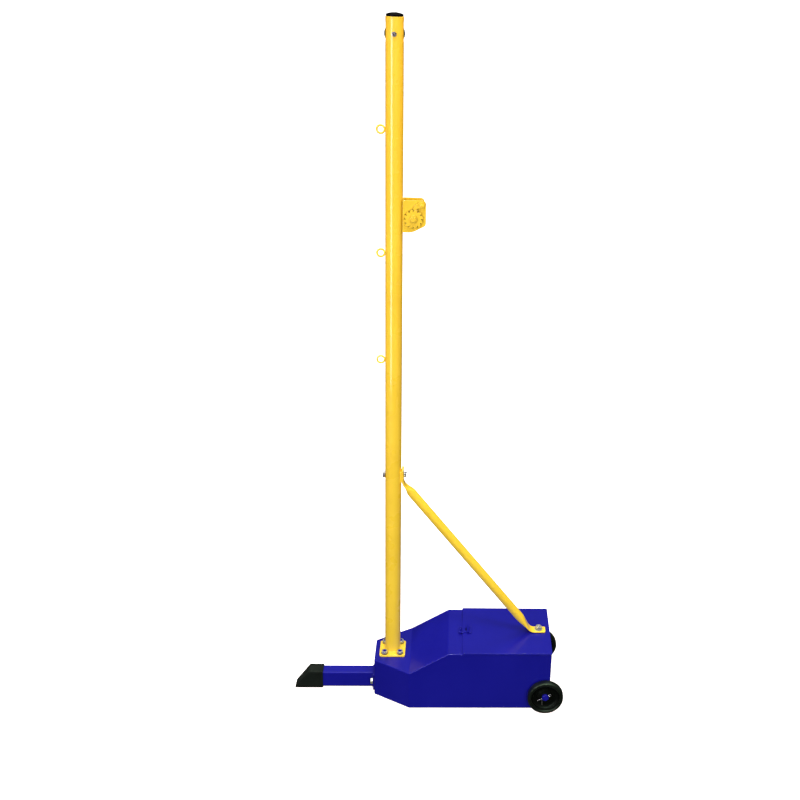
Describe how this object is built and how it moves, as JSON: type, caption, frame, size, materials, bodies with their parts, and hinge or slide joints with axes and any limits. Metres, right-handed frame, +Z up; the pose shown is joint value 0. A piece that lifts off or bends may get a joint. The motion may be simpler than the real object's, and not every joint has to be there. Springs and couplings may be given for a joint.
{
  "type": "badminton net post",
  "caption": "Free-standing badminton net post: round mast with pulley, eyelets and ratchet winch, braced to a wheeled ballast box with a hasped lid and a stabiliser leg.",
  "frame": {"origin": "the floor under the middle of the footprint, half way between the foot's tip and the wheels' far edge", "axes": "+Z up along the mast, +X from the mast to the wheels, -X to the net and the foot, Y along the axle; the winch's ratchet faces -Y"},
  "size_m": [0.633, 0.2268, 1.55],
  "materials": {
    "yellow_paint": "glossy powder coat",
    "blue_paint": "satin powder coat",
    "zinc": "bright zinc plating",
    "black_plastic": "moulded, slightly glossy",
    "black_rubber": "matt moulded rubber",
    "iron": "bare cast surface"
  },
  "bodies": {
    "post": {"ballast_box": "blue_paint", "box_lid": "blue_paint", "ballast_slab_lower": "iron", "ballast_slab_upper": "iron", "hasp_hinge": "blue_paint", "hasp_staple": "blue_paint", "mast_tube": "yellow_paint", "mast_head": "yellow_paint", "mast_cap": "black_plastic", "pulley_axle_screw": "zinc", "pulley_axle_nut": "zinc", "eyelet_upper": "yellow_paint", "eyelet_middle": "yellow_paint", "eyelet_lower": "yellow_paint", "winch_bracket": "yellow_paint", "winch_screw_lower": "zinc", "winch_screw_upper": "zinc", "winch_pawl_rivet": "yellow_paint", "mast_base_plate": "yellow_paint", "base_stud_1": "blue_paint", "base_washer_1": "zinc", "base_nut_1": "zinc", "base_stud_2": "blue_paint", "base_washer_2": "zinc", "base_nut_2": "zinc", "base_stud_3": "blue_paint", "base_washer_3": "zinc", "base_nut_3": "zinc", "base_stud_4": "blue_paint", "base_washer_4": "zinc", "base_nut_4": "zinc", "brace_tube": "yellow_paint", "brace_saddle": "yellow_paint", "brace_bolt_upper": "zinc", "brace_wing_nut": "zinc", "brace_bolt_lower": "zinc", "brace_washer_lower": "zinc", "brace_nut_lower": "zinc", "leg_tube": "blue_paint", "leg_flange": "blue_paint", "leg_bolt_front": "zinc", "leg_nut_front": "zinc", "leg_bolt_rear": "zinc", "leg_nut_rear": "zinc", "leg_foot": "black_rubber", "wheel_axle": "blue_paint", "axle_collar_front": "blue_paint", "split_pin_front": "zinc", "axle_collar_rear": "blue_paint", "split_pin_rear": "zinc"},
    "front_wheel": {"wheel_front": "black_plastic"},
    "rear_wheel": {"wheel_rear": "black_plastic"},
    "pulley": {"pulley_sheave": "black_plastic"},
    "drum": {"winch_drum": "yellow_paint", "winch_ratchet": "yellow_paint"},
    "pawl": {"winch_pawl": "yellow_paint"},
    "hasp": {"hasp_leaf": "blue_paint"}
  },
  "joints": [
    {"name": "front_wheel_spin", "type": "hinge", "parent": "post", "child": "front_wheel", "pos_m": [0.2745, -0.1035, 0.042], "axis": [0, 1, 0], "continuous": true},
    {"name": "rear_wheel_spin", "type": "hinge", "parent": "post", "child": "rear_wheel", "pos_m": [0.2745, 0.1035, 0.042], "axis": [0, 1, 0], "continuous": true},
    {"name": "pulley_spin", "type": "hinge", "parent": "post", "child": "pulley", "pos_m": [-0.0855, 0, 1.5107], "axis": [0, 1, 0], "continuous": true},
    {"name": "winch_drum_spin", "type": "hinge", "parent": "post", "child": "drum", "pos_m": [-0.0455, 0, 1.1492], "axis": [0, 1, 0], "continuous": true},
    {"name": "winch_pawl_lift", "type": "hinge", "parent": "post", "child": "pawl", "pos_m": [-0.0288, -0.0168, 1.1785], "axis": [0, 1, 0], "range_deg": [0, 95]},
    {"name": "hasp_swing", "type": "hinge", "parent": "post", "child": "hasp", "pos_m": [0.092, 0, 0.1564], "axis": [0, 1, 0], "range_deg": [0, 180]}
  ]
}
